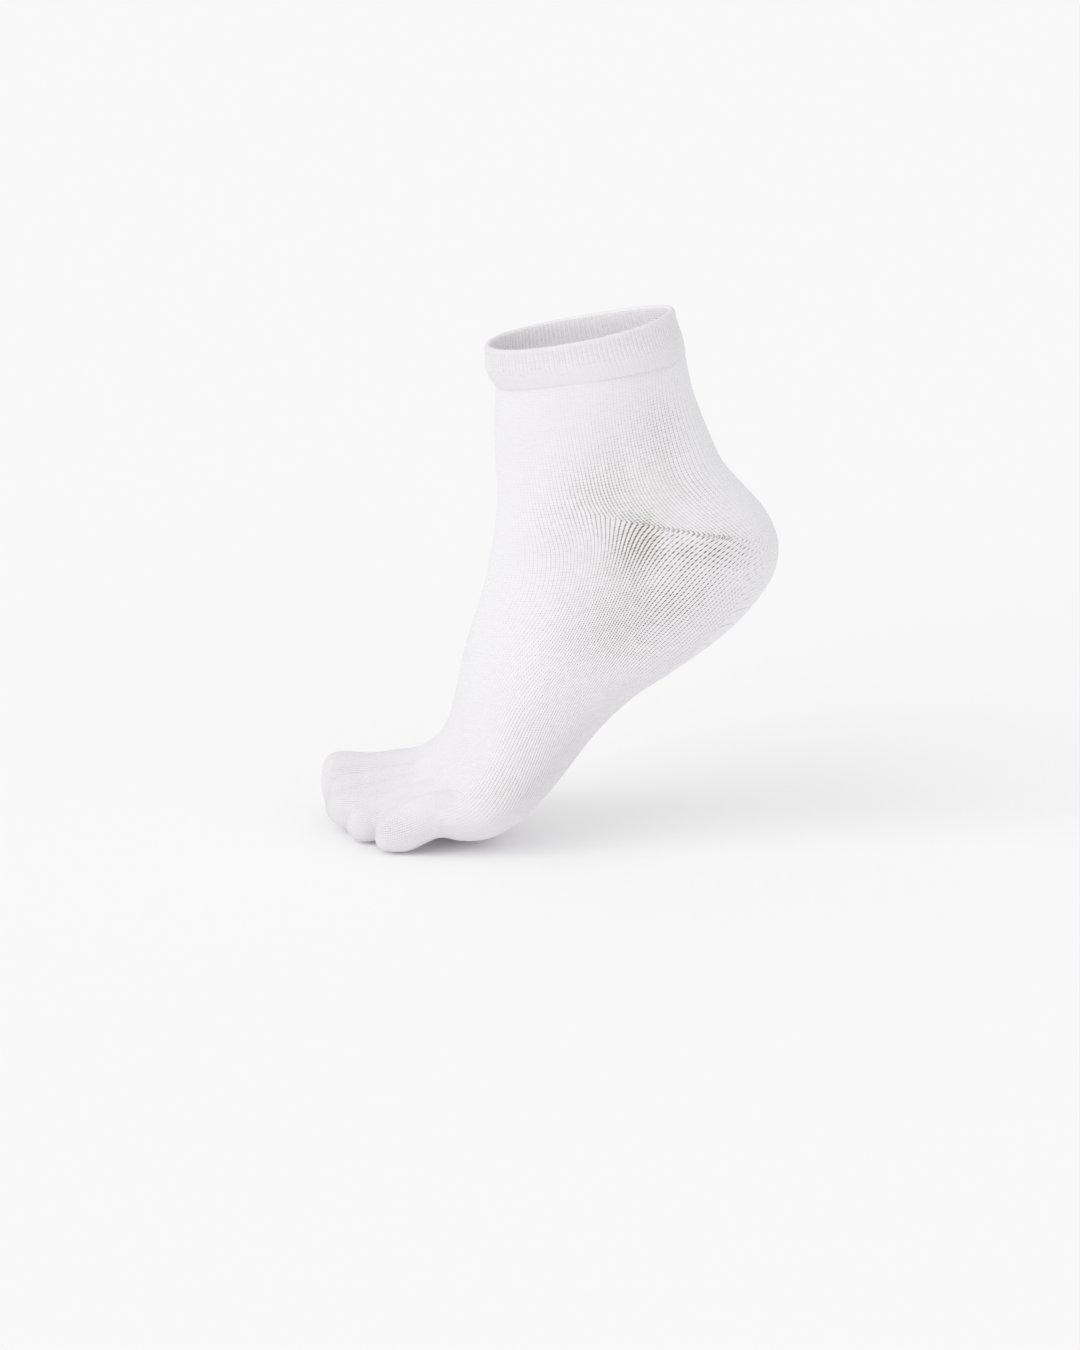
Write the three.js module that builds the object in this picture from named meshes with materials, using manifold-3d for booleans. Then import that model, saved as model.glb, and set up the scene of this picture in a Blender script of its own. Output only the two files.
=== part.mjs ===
// Left toe sock of fine white cotton knit, hollow and filled out as if worn on tiptoe.
// Millimetres, +Z up, toes towards -Y, little toe towards +X. The origin is the centre of the leg opening.
// The tables and sizes below are measured from the floor; everything moves to the origin at the end.

import * as THREE from "three";
import { mergeVertices } from "three/addons/utils/BufferGeometryUtils.js";
import Module from "manifold-3d";

const wasm = await Module();
wasm.setup();

// Driving sizes
const KNIT_WALL = 1.5;
const SEAM_GAP = 0.3;
const CURVED_SEAM_GAP = 0.36;
const FLOOR = 0;
const BODY_POINTS = 34;
const BODY_RINGS = 34;
const TOE_POINTS = 16;
const TOE_TUBE_RINGS = 4;
const TOE_TIP_RINGS = 4;
const TIP_STEP_LEFT = 0.5;
const RIB_COUNT = 124;
const RIB_HEIGHT = 0.3;

// Opening rim, the middle of the cuff and the seam under it, front and back, as (Y, Z). The rim hangs lower at the
// sides of the leg than at its front and back, and the seam rides higher there, by a sag that grows with the square
// of the distance; the rim also tips to the inner side.
const RIM = { frontY: -26.2, frontZ: 212.8, backY: 51.6, backZ: 229.0, halfWidth: 32.6 };
const CUFF_MIDDLE = { frontY: -26.2, frontZ: 204.4, backY: 54.4, backZ: 220.4, halfWidth: 32.6 };
const CUFF_SEAM = { frontY: -22.8, frontZ: 195.7, backY: 57.2, backZ: 211.8, halfWidth: 32.6 };
const RIM_SAG = 1.0;
const RIM_TIP = -1.0;
const SEAM_SAG = -2.2;
const CUFF_SQUARE = 2.2;
const OPENING_CENTRE = new THREE.Vector3(0, (RIM.frontY + RIM.backY) / 2, (RIM.frontZ + RIM.backZ) / 2);

// Body of the sock: each row is one section, from the front or instep point to the back or sole point.
// Narrowing is a share of the half width; lean, rolls and skew are millimetres at the section's edge.
const BODY_COLUMNS = ["frontY", "frontZ", "backY", "backZ", "centreX", "halfWidth",
  "frontNarrow", "backNarrow", "lean", "soleRoll", "topRoll", "skew", "square"];
const BODY_ROWS = [
  [-25.0, 205.0, 54.8, 221.5, 0.0, 33.0, 0.00, 0.00, 0.0, 0.0, 0.0, 0.0, 2.10],
  [-22.8, 195.7, 57.4, 211.8, 0.0, 32.6, 0.00, 0.05, 0.0, 0.0, 0.0, 0.0, 2.10],
  [-23.6, 182.0, 60.6, 197.0, 0.0, 31.8, 0.03, 0.12, 0.0, 0.0, 0.0, 0.0, 2.10],
  [-23.3, 170.0, 64.4, 186.5, 0.0, 31.4, 0.05, 0.20, 0.0, 0.0, 0.0, 0.0, 2.15],
  [-22.8, 158.0, 68.6, 176.5, 0.0, 31.8, 0.08, 0.22, 0.0, 0.0, 0.0, 0.0, 2.15],
  [-22.2, 148.0, 73.6, 165.5, 0.0, 32.8, 0.10, 0.20, 0.0, 0.0, 0.0, 0.0, 2.20],
  [-22.8, 139.5, 82.2, 155.4, 0.0, 33.5, 0.12, 0.12, 0.0, 0.0, 0.0, 0.0, 2.25],
  [-23.6, 132.5, 90.7, 146.0, 0.0, 33.3, 0.15, 0.05, 0.0, 0.0, 0.0, 0.0, 2.35],
  [-24.6, 127.0, 96.2, 136.0, 0.0, 32.8, 0.18, 0.00, -0.5, 0.0, 0.0, 0.0, 2.45],
  [-25.8, 121.0, 97.7, 126.5, 0.0, 32.3, 0.20, -0.02, -1.0, 0.0, 0.0, 0.0, 2.50],
  [-27.1, 115.0, 95.6, 117.0, 0.0, 32.0, 0.22, -0.04, -1.5, 0.0, -0.3, 0.0, 2.50],
  [-28.4, 109.5, 90.2, 108.2, 0.2, 31.5, 0.24, -0.05, -2.2, 0.0, -0.6, 0.5, 2.50],
  [-30.0, 104.0, 82.4, 98.8, 0.4, 31.2, 0.25, -0.05, -3.0, 0.0, -0.9, 1.0, 2.50],
  [-31.6, 98.5, 72.6, 90.0, 0.6, 31.2, 0.26, -0.05, -3.8, 0.2, -1.2, 1.8, 2.50],
  [-33.3, 93.0, 61.7, 81.7, 0.8, 31.8, 0.27, -0.04, -4.5, 0.4, -1.5, 2.6, 2.50],
  [-34.8, 87.5, 50.5, 74.0, 1.1, 32.8, 0.27, -0.03, -5.2, 0.7, -1.8, 3.5, 2.50],
  [-36.2, 82.0, 39.3, 66.4, 1.4, 34.0, 0.26, -0.02, -5.8, 1.0, -2.0, 4.4, 2.50],
  [-37.5, 76.0, 29.4, 57.6, 1.7, 35.5, 0.25, -0.01, -6.2, 1.4, -2.2, 5.3, 2.50],
  [-38.6, 70.0, 20.8, 48.2, 2.0, 37.2, 0.24, 0.00, -6.6, 1.8, -2.3, 6.2, 2.50],
  [-39.6, 63.5, 13.5, 38.6, 2.3, 39.3, 0.22, 0.01, -6.8, 2.2, -2.4, 7.0, 2.55],
  [-40.6, 57.0, 6.2, 28.9, 2.6, 41.6, 0.20, 0.02, -6.8, 2.6, -2.5, 7.8, 2.60],
  [-41.8, 50.0, -2.1, 19.0, 2.9, 43.8, 0.17, 0.03, -6.5, 3.0, -2.6, 8.6, 2.60],
  [-43.8, 42.4, -11.8, 9.6, 3.1, 45.6, 0.14, 0.04, -5.8, 3.3, -2.7, 9.2, 2.60],
  [-47.9, 35.6, -22.5, 3.2, 3.3, 46.6, 0.11, 0.05, -4.8, 3.4, -2.7, 9.6, 2.60],
  [-53.4, 31.4, -33.5, 1.2, 3.5, 46.4, 0.08, 0.05, -3.6, 3.2, -2.6, 10.0, 2.60],
  [-57.0, 27.4, -43.0, 2.4, 3.7, 44.8, 0.06, 0.05, -2.4, 2.6, -2.2, 10.2, 2.60],
  [-59.2, 23.2, -51.0, 6.0, 3.9, 41.8, 0.05, 0.05, -1.2, 1.6, -1.6, 10.4, 2.50],
  [-60.0, 18.6, -56.5, 10.5, 4.0, 37.0, 0.00, 0.00, 0.0, 0.8, -0.8, 10.4, 2.30],
];

// Toe pockets: root, middle and pad sections, each from its top to its underside, then the tip's own point.
const TOE_COLUMNS = ["x", "y", "top", "bottom", "halfWidth"];
const TOES = [
  {
    name: "toe_big", square: 2.5, tip: { x: -28.0, y: -102.5, z: 15.6 }, tipSquare: 3.6,
    rows: [
      [-24.0, -40, 31.6, 8.0, 10.0], [-27.0, -64, 28.4, 4.0, 12.2], [-28.4, -82, 25.0, 1.2, 13.1],
      [-28.5, -92, 25.2, 0.4, 13.0],
    ],
  },
  {
    name: "toe_second", square: 2.2, tip: { x: -6.5, y: -96.8, z: 12.4 }, tipSquare: 2.2,
    rows: [[-4.5, -44, 29.6, 9.0, 7.6], [-6.0, -68, 26.0, 4.4, 8.5], [-6.3, -84, 21.8, 1.0, 8.6]],
  },
  {
    name: "toe_third", square: 2.2, tip: { x: 10.5, y: -95.2, z: 11.8 }, tipSquare: 2.1,
    rows: [[9.5, -42, 29.2, 9.0, 7.5], [10.0, -63, 25.6, 5.0, 8.2], [10.5, -79, 20.4, 0.8, 8.3]],
  },
  {
    name: "toe_fourth", square: 2.2, tip: { x: 26.5, y: -83.4, z: 7.6 }, tipSquare: 2.1,
    rows: [
      [25.0, -38, 30.4, 9.0, 7.4], [26.0, -57, 25.9, 5.4, 8.0], [26.5, -66, 22.6, 2.2, 8.1],
      [26.5, -74, 18.2, 0.5, 8.0],
    ],
  },
  {
    name: "toe_little", square: 2.2, tip: { x: 42.0, y: -68.4, z: 6.0 }, tipSquare: 2.1,
    rows: [
      [37.5, -27, 28.5, 12.0, 6.5], [41.0, -43, 27.2, 6.4, 8.3], [41.8, -53, 24.0, 1.3, 8.4],
      [42.2, -61, 19.2, 0.6, 8.0],
    ],
  },
];

// Plan of the toe roots, from the inner side to the outer side; the inner points are the crotches.
const WEB_COLUMNS = ["x", "y"];
const WEB_ROWS = [[-60, -64], [-14.6, -64], [2.2, -64.5], [18.3, -60], [34.3, -50.5], [70, -44]];

// Heel pocket: the gore's front point on the side of the ankle, and where its seams meet the outline, as (Y, Z)
const GORE_POINT = { y: 44, z: 145.4 };
const HEEL_TOP_SEAM = { y: 80, z: 165 };
const HEEL_SOLE_SEAM = { y: 70, z: 86 };
const INSTEP_SEAM = { y: -24, z: 134 };

// Where the instep ends and the arch begins, and where the arch ends and the ball begins, from the sole to the top
const ARCH_SEAM = { sole: { y: 59.7, z: 73.3 }, top: { y: -34.8, z: 87.5 } };
const BALL_SEAM = { sole: { y: 5.8, z: 12.9 }, top: { y: -41.8, z: 50 } };

// Cuff, from the seam up to the rim: height as a share, how far it stands proud, share of the rib height,
// and the wall there. The lower third is a plain welt that bulges over the seam.
const CUFF_COLUMNS = ["height", "proud", "rib", "wall"];
const CUFF_ROWS = [
  [0.00, 0.2, 0.0, 1.7],
  [0.09, 0.7, 0.0, 2.0],
  [0.30, 1.25, 0.0, 2.1],
  [0.50, 0.9, 1.0, 1.9],
  [0.88, 0.7, 1.0, 2.0],
  [1.09, -0.1, 0.0, 1.2],
];

const COTTON = { color: 0xf1f0f1, roughness: 0.95, metalness: 0 };

// Reach of the cutting forms, how far the cuff's hollow runs past its ends as a share of its height, half the
// width and half the steps of the cut along its seam, the height that only the toe pockets stay under, and the
// volume of the smallest piece
const CUT_REACH = 150;
const CUFF_OVERRUN = 0.4;
const SEAM_CUT_REACH = 50;
const SEAM_CUT_STEPS = 24;
const TOE_HEADROOM = 45;
const SMALLEST_PIECE = 40;

function namedRows(columns, rows) {
  return rows.map((row) => Object.fromEntries(columns.map((column, i) => [column, row[i]])));
}

function smoothBetween(a, b, c, d, share) {
  return 0.5 * (2 * b + (c - a) * share + (2 * a - 5 * b + 4 * c - d) * share ** 2
    + (3 * b - a - 3 * c + d) * share ** 3);
}

// A row between the rows of a table, at a place counted in rows
function rowAt(rows, place) {
  const last = rows.length - 1;
  const start = Math.min(Math.floor(place), last - 1);
  const pick = (i) => rows[Math.min(Math.max(i, 0), last)];
  const row = {};
  for (const column of Object.keys(rows[0])) {
    row[column] = smoothBetween(pick(start - 1)[column], pick(start)[column], pick(start + 1)[column],
      pick(start + 2)[column], place - start);
  }
  return row;
}

function signedPower(value, power) {
  return Math.sign(value) * Math.abs(value) ** power;
}

function bodyRing(section, points) {
  const front = new THREE.Vector2(section.frontY, section.frontZ);
  const back = new THREE.Vector2(section.backY, section.backZ);
  const centre = front.clone().add(back).multiplyScalar(0.5);
  const halfDepth = front.distanceTo(back) / 2;
  const depthAxis = front.clone().sub(back).normalize();
  const ring = [];
  for (let i = 0; i < points; i += 1) {
    const angle = (2 * Math.PI * i) / points;
    const depth = signedPower(Math.cos(angle), 2 / section.square);
    const side = signedPower(Math.sin(angle), 2 / section.square);
    const narrow = (depth > 0 ? section.frontNarrow : section.backNarrow) * depth ** 2;
    const roll = side * (section.soleRoll * (1 - depth) + section.topRoll * (1 + depth)) / 2;
    const along = halfDepth * depth + roll;
    ring.push(new THREE.Vector3(
      section.centreX + section.lean * depth + side * section.halfWidth * (1 - narrow),
      centre.x + depthAxis.x * along + section.skew * side,
      Math.max(FLOOR, centre.y + depthAxis.y * along),
    ));
  }
  return ring;
}

// A closed form through rings of equal count, with a fan at each end
function loft(rings) {
  const count = rings[0].length;
  const points = rings.flat();
  const faces = [];
  for (let r = 0; r < rings.length - 1; r += 1) {
    for (let i = 0; i < count; i += 1) {
      const a = r * count + i;
      const b = r * count + ((i + 1) % count);
      faces.push(a, a + count, b, b, a + count, b + count);
    }
  }
  for (const [ring, start, turn] of [[rings[0], 0, 1], [rings.at(-1), (rings.length - 1) * count, -1]]) {
    const hub = points.length;
    points.push(ring.reduce((sum, p) => sum.add(p), new THREE.Vector3()).divideScalar(count));
    for (let i = 0; i < count; i += 1) {
      const next = start + ((i + 1) % count);
      faces.push(...(turn > 0 ? [hub, start + i, next] : [hub, next, start + i]));
    }
  }
  const geometry = new THREE.BufferGeometry().setFromPoints(points);
  geometry.setIndex(signedVolume(points, faces) > 0 ? faces : faces.reverse());
  geometry.computeVertexNormals();
  return geometry;
}

function signedVolume(points, faces) {
  let volume = 0;
  for (let f = 0; f < faces.length; f += 3) {
    const [a, b, c] = [points[faces[f]], points[faces[f + 1]], points[faces[f + 2]]];
    volume += a.dot(b.clone().cross(c)) / 6;
  }
  return volume;
}

// The same form moved in by the wall
function movedIn(geometry, wall) {
  const inner = geometry.clone();
  const { position, normal } = inner.attributes;
  for (let i = 0; i < position.count; i += 1) {
    position.setXYZ(i, position.getX(i) - wall * normal.getX(i), position.getY(i) - wall * normal.getY(i),
      position.getZ(i) - wall * normal.getZ(i));
  }
  return inner;
}

function toSolid(geometry) {
  const bare = geometry.clone();
  bare.deleteAttribute("normal");
  bare.deleteAttribute("uv");
  const merged = mergeVertices(bare);
  return new wasm.Manifold(new wasm.Mesh({
    numProp: 3,
    vertProperties: new Float32Array(merged.attributes.position.array),
    triVerts: new Uint32Array(merged.index.array),
  }));
}

function bodyForm() {
  const table = namedRows(BODY_COLUMNS, BODY_ROWS);
  const rings = [];
  for (let r = 0; r < BODY_RINGS; r += 1) {
    rings.push(bodyRing(rowAt(table, (r * (table.length - 1)) / (BODY_RINGS - 1)), BODY_POINTS));
  }
  return loft(rings);
}

function toeRing(section, square) {
  const ring = [];
  for (let i = 0; i < TOE_POINTS; i += 1) {
    const angle = (2 * Math.PI * i) / TOE_POINTS;
    const up = signedPower(Math.cos(angle), 2 / square);
    const side = signedPower(Math.sin(angle), 2 / square);
    const middle = (section.top + section.bottom) / 2;
    const z = middle + ((section.top - section.bottom) / 2) * up;
    ring.push(new THREE.Vector3(section.x + section.halfWidth * side, section.y, Math.max(FLOOR, z)));
  }
  return ring;
}

function toeForm(toe) {
  const table = namedRows(TOE_COLUMNS, toe.rows);
  const pad = table.at(-1);
  const rings = [];
  for (let r = 0; r <= TOE_TUBE_RINGS; r += 1) {
    rings.push(toeRing(rowAt(table, (r * (table.length - 1)) / TOE_TUBE_RINGS), toe.square));
  }
  for (let r = 1; r <= TOE_TIP_RINGS; r += 1) {
    const turn = (Math.PI / 2) * (r / (TOE_TIP_RINGS + TIP_STEP_LEFT));
    const ahead = Math.sin(turn) ** (2 / toe.tipSquare);
    const size = Math.cos(turn) ** (2 / toe.tipSquare);
    rings.push(toeRing({
      x: THREE.MathUtils.lerp(pad.x, toe.tip.x, ahead),
      y: THREE.MathUtils.lerp(pad.y, toe.tip.y, ahead),
      top: toe.tip.z + (pad.top - toe.tip.z) * size,
      bottom: toe.tip.z + (pad.bottom - toe.tip.z) * size,
      halfWidth: pad.halfWidth * size,
    }, toe.square));
  }
  return loft(rings);
}

function box(width, depth, height, place, turn) {
  const geometry = new THREE.BoxGeometry(width, depth, height);
  geometry.applyMatrix4(new THREE.Matrix4().compose(place, new THREE.Quaternion().setFromEuler(turn),
    new THREE.Vector3(1, 1, 1)));
  return toSolid(geometry);
}

// A thin cut from one point towards another of the side view, right through the sock's width
function sideCut(start, towards) {
  const angle = Math.atan2(towards.z - start.z, towards.y - start.y);
  const middle = (CUT_REACH - SEAM_GAP) / 2;
  const place = new THREE.Vector3(0, start.y + middle * Math.cos(angle), start.z + middle * Math.sin(angle));
  return box(CUT_REACH * 2, CUT_REACH, SEAM_GAP, place, new THREE.Euler(angle, 0, 0));
}

// A thin upright cut between two points of the plan
function planCut(start, end) {
  const length = Math.hypot(end.x - start.x, end.y - start.y) + SEAM_GAP;
  const angle = Math.atan2(end.y - start.y, end.x - start.x);
  const place = new THREE.Vector3((start.x + end.x) / 2, (start.y + end.y) / 2, 0);
  return box(length, SEAM_GAP, CUT_REACH, place, new THREE.Euler(0, 0, angle));
}

// Everything above the seam under the cuff: an outline in X and Z with a curved lower edge, drawn out along Y
function aboveCuffSeam() {
  const angle = Math.atan2(CUFF_SEAM.backZ - CUFF_SEAM.frontZ, CUFF_SEAM.backY - CUFF_SEAM.frontY);
  const outline = [new THREE.Vector2(CUT_REACH, CUT_REACH), new THREE.Vector2(-CUT_REACH, CUT_REACH)];
  for (let i = -SEAM_CUT_STEPS; i <= SEAM_CUT_STEPS; i += 1) {
    const x = (SEAM_CUT_REACH * i) / SEAM_CUT_STEPS;
    outline.push(new THREE.Vector2(x, -CURVED_SEAM_GAP - SEAM_SAG * (x / CUFF_SEAM.halfWidth) ** 2));
  }
  const geometry = new THREE.ExtrudeGeometry(new THREE.Shape(outline), { depth: CUT_REACH * 2, bevelEnabled: false });
  geometry.translate(0, 0, -CUT_REACH);
  geometry.rotateX(Math.PI / 2 + angle);
  geometry.translate(0, (CUFF_SEAM.frontY + CUFF_SEAM.backY) / 2, (CUFF_SEAM.frontZ + CUFF_SEAM.backZ) / 2);
  return toSolid(geometry);
}

function joined(solids) {
  return solids.reduce((sum, solid) => sum.add(solid));
}

// Leg, heel, instep, arch, ball and toe pockets: one knitted wall, parted at its seams
function knittedPieces() {
  const forms = [bodyForm(), ...TOES.map(toeForm)];
  const outer = joined(forms.map(toSolid));
  const inner = joined(forms.map((form) => toSolid(movedIn(form, KNIT_WALL))));
  const cuts = [
    aboveCuffSeam(),
    sideCut(GORE_POINT, HEEL_TOP_SEAM),
    sideCut(GORE_POINT, HEEL_SOLE_SEAM),
    sideCut(GORE_POINT, INSTEP_SEAM),
    sideCut(ARCH_SEAM.sole, ARCH_SEAM.top),
    sideCut(BALL_SEAM.sole, BALL_SEAM.top),
  ];
  const web = namedRows(WEB_COLUMNS, WEB_ROWS);
  for (let i = 0; i < web.length - 1; i += 1) {
    cuts.push(planCut(web[i], web[i + 1]));
  }
  const pads = TOES.map((toe) => namedRows(TOE_COLUMNS, toe.rows).at(-1));
  for (let i = 1; i < pads.length; i += 1) {
    const between = (pads[i - 1].x + pads[i - 1].halfWidth + pads[i].x - pads[i].halfWidth) / 2;
    cuts.push(planCut(web[i], { x: between, y: -CUT_REACH }));
  }
  const pieces = outer.subtract(inner).subtract(joined(cuts)).decompose()
    .filter((piece) => piece.volume() > SMALLEST_PIECE)
    .map((piece) => ({ piece, low: piece.boundingBox().min, high: piece.boundingBox().max }));
  const toes = pieces.filter(({ high }) => high[2] < TOE_HEADROOM).sort((a, b) => a.low[0] - b.low[0]);
  const rest = pieces.filter(({ high }) => high[2] >= TOE_HEADROOM).sort((a, b) => b.high[2] - a.high[2]);
  const named = Object.fromEntries(["leg", "heel", "instep", "arch", "ball"]
    .map((name, i) => [name, rest[i].piece]));
  toes.forEach(({ piece }, i) => {
    named[TOES[i].name] = piece;
  });
  return named;
}

// A ring of the cuff, between the seam and the rim, moved out by a distance, with its ribs standing proud
function cuffRing(height, outwards, rib, points) {
  const section = {
    centreX: 0, frontNarrow: 0, backNarrow: 0, lean: 0, soleRoll: 0, topRoll: 0, skew: 0,
    square: CUFF_SQUARE,
  };
  for (const size of Object.keys(RIM)) {
    section[size] = height < 0.5 ? THREE.MathUtils.lerp(CUFF_SEAM[size], CUFF_MIDDLE[size], height * 2)
      : THREE.MathUtils.lerp(CUFF_MIDDLE[size], RIM[size], height * 2 - 1);
  }
  const centre = new THREE.Vector3(0, (section.frontY + section.backY) / 2, (section.frontZ + section.backZ) / 2);
  return bodyRing(section, points).map((point, i) => {
    const reach = point.clone().sub(centre);
    const proud = outwards + (i % 2 === 0 ? rib : 0);
    const aside = point.x / section.halfWidth;
    const sag = THREE.MathUtils.lerp(SEAM_SAG, RIM_SAG, height) * aside ** 2 + RIM_TIP * height * aside;
    return centre.clone().addScaledVector(reach, 1 + proud / reach.length()).setZ(
      centre.z + reach.z * (1 + proud / reach.length()) - sag);
  });
}

function cuffPiece() {
  const table = namedRows(CUFF_COLUMNS, CUFF_ROWS);
  const outer = table.map((row) => cuffRing(row.height, row.proud, row.rib * RIB_HEIGHT, RIB_COUNT * 2));
  const inner = table.map((row) => cuffRing(row.height, row.proud - row.wall, 0, BODY_POINTS));
  const below = cuffRing(-CUFF_OVERRUN, table[0].proud - table[0].wall, 0, BODY_POINTS);
  const above = cuffRing(1 + CUFF_OVERRUN, table.at(-1).proud - table.at(-1).wall, 0, BODY_POINTS);
  return toSolid(loft(outer)).subtract(toSolid(loft([below, ...inner, above])));
}

function toMesh(name, solid) {
  const { vertProperties, triVerts } = solid.getMesh();
  const geometry = new THREE.BufferGeometry();
  geometry.setAttribute("position", new THREE.BufferAttribute(new Float32Array(vertProperties), 3));
  geometry.setIndex(new THREE.BufferAttribute(new Uint32Array(triVerts), 1));
  geometry.computeVertexNormals();
  const mesh = new THREE.Mesh(geometry, new THREE.MeshStandardMaterial(COTTON));
  mesh.name = name;
  return mesh;
}

const group = new THREE.Group();
group.position.copy(OPENING_CENTRE).negate();
for (const [name, solid] of Object.entries({ cuff: cuffPiece(), ...knittedPieces() })) {
  group.add(toMesh(name, solid));
}

export default group;
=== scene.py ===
# Left toe sock of fine white cotton knit, hollow and filled out as if worn on tiptoe, held at its opening.
# Tables, places, sags, the depth of the ribs and the lens are in millimetres, heights from the floor, with
# the toes towards -Y and the little toe towards +X. Other lengths are in metres.

import math
from collections import namedtuple

import bmesh
import bpy
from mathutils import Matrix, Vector, interpolate
from mathutils.bvhtree import BVHTree


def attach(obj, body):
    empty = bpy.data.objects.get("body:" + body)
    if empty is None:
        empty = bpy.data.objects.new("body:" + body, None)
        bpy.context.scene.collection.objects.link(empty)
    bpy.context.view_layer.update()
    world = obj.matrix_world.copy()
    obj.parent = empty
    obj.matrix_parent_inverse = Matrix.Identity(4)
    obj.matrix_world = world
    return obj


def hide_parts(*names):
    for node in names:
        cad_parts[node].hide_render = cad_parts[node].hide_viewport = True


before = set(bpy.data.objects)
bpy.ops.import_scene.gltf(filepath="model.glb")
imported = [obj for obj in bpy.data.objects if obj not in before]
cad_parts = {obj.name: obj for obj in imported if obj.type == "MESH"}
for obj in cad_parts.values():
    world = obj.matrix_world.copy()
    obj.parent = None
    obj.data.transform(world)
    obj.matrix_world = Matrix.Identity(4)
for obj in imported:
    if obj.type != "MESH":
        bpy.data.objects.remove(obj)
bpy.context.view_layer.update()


# Leg, heel, foot and toe pockets: knitted in one on a glove machine from fine white cotton with some stretch
# yarn. The tube goes round the heel to the ball of the foot, where five closed pockets are knitted on. The
# heel is a pocket of short rows, with a gore line on each side of the ankle.

# The frame's origin, in the middle of the leg opening
OPENING = Vector((0, 12.7, 220.9))
KNIT_WALL = 0.0013
VOXEL = 0.00145
SMOOTHING = 5

# A ring round the sock: its front and back in the side view, its middle and half width, how much narrower
# it gets towards front and back, how far its front leans towards the little toe, how far the back and the
# front of the little toe's side roll forward, how far that side lies nearer the heel, and how square the ring
# is, from 2 for an ellipse. On the foot the front is the instep and the back is the sole.
Section = namedtuple(
    "Section",
    "front_y front_z back_y back_z centre_x half_width front_narrow back_narrow"
    " lean sole_roll top_roll skew square",
)
BODY_ROWS = [
    (-25.0, 205.0, 54.8, 221.5, 0.0, 33.0, 0.00, 0.00, 0.0, 0.0, 0.0, 0.0, 2.10),
    (-22.8, 195.7, 57.4, 211.8, 0.0, 32.6, 0.00, 0.05, 0.0, 0.0, 0.0, 0.0, 2.10),
    (-23.6, 182.0, 60.6, 197.0, 0.0, 31.8, 0.03, 0.12, 0.0, 0.0, 0.0, 0.0, 2.10),
    (-23.3, 170.0, 64.4, 186.5, 0.0, 31.4, 0.05, 0.20, 0.0, 0.0, 0.0, 0.0, 2.15),
    (-22.8, 158.0, 68.6, 176.5, 0.0, 31.8, 0.08, 0.22, 0.0, 0.0, 0.0, 0.0, 2.15),
    (-22.2, 148.0, 73.6, 165.5, 0.0, 32.8, 0.10, 0.20, 0.0, 0.0, 0.0, 0.0, 2.20),
    (-22.8, 139.5, 82.2, 155.4, 0.0, 33.5, 0.12, 0.12, 0.0, 0.0, 0.0, 0.0, 2.25),
    (-23.6, 132.5, 90.7, 146.0, 0.0, 33.3, 0.15, 0.05, 0.0, 0.0, 0.0, 0.0, 2.35),
    (-24.6, 127.0, 96.2, 136.0, 0.0, 32.8, 0.18, 0.00, -0.5, 0.0, 0.0, 0.0, 2.45),
    (-25.8, 121.0, 97.7, 126.5, 0.0, 32.3, 0.20, -0.02, -1.0, 0.0, 0.0, 0.0, 2.50),
    (-27.1, 115.0, 95.6, 117.0, 0.0, 32.0, 0.22, -0.04, -1.5, 0.0, -0.3, 0.0, 2.50),
    (-28.4, 109.5, 90.2, 108.2, 0.2, 31.5, 0.24, -0.05, -2.2, 0.0, -0.6, 0.5, 2.50),
    (-30.0, 104.0, 82.4, 98.8, 0.4, 31.2, 0.25, -0.05, -3.0, 0.0, -0.9, 1.0, 2.50),
    (-31.6, 98.5, 72.6, 90.0, 0.6, 31.2, 0.26, -0.05, -3.8, 0.2, -1.2, 1.8, 2.50),
    (-33.3, 93.0, 61.7, 81.7, 0.8, 31.8, 0.27, -0.04, -4.5, 0.4, -1.5, 2.6, 2.50),
    (-34.8, 87.5, 50.5, 74.0, 1.1, 32.8, 0.27, -0.03, -5.2, 0.7, -1.8, 3.5, 2.50),
    (-36.2, 82.0, 39.3, 66.4, 1.4, 34.0, 0.26, -0.02, -5.8, 1.0, -2.0, 4.4, 2.50),
    (-37.5, 76.0, 29.4, 57.6, 1.7, 35.5, 0.25, -0.01, -6.2, 1.4, -2.2, 5.3, 2.50),
    (-38.6, 70.0, 20.8, 48.2, 2.0, 37.2, 0.24, 0.00, -6.6, 1.8, -2.3, 6.2, 2.50),
    (-39.6, 63.5, 13.5, 38.6, 2.3, 39.3, 0.22, 0.01, -6.8, 2.2, -2.4, 7.0, 2.55),
    (-40.6, 57.0, 6.2, 28.9, 2.6, 41.6, 0.20, 0.02, -6.8, 2.6, -2.5, 7.8, 2.60),
    (-41.8, 50.0, -2.1, 19.0, 2.9, 43.8, 0.17, 0.03, -6.5, 3.0, -2.6, 8.6, 2.60),
    (-43.8, 42.4, -11.8, 9.6, 3.1, 45.6, 0.14, 0.04, -5.8, 3.3, -2.7, 9.2, 2.60),
    (-47.9, 35.6, -22.5, 3.2, 3.3, 46.6, 0.11, 0.05, -4.8, 3.4, -2.7, 9.6, 2.60),
    (-53.4, 31.4, -33.5, 1.2, 3.5, 46.4, 0.08, 0.05, -3.6, 3.2, -2.6, 10.0, 2.60),
    (-57.0, 27.4, -43.0, 2.4, 3.7, 44.8, 0.06, 0.05, -2.4, 2.6, -2.2, 10.2, 2.60),
    (-59.2, 23.2, -51.0, 6.0, 3.9, 41.8, 0.05, 0.05, -1.2, 1.6, -1.6, 10.4, 2.50),
    (-60.0, 18.6, -56.5, 10.5, 4.0, 37.0, 0.00, 0.00, 0.0, 0.8, -0.8, 10.4, 2.30),
]
BODY_STEPS = 7
BODY_POINTS = 96
BODY_WALES = 144
COURSE_HEIGHT = 0.0012
TOE_COURSE_HEIGHT = 0.0008

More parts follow.
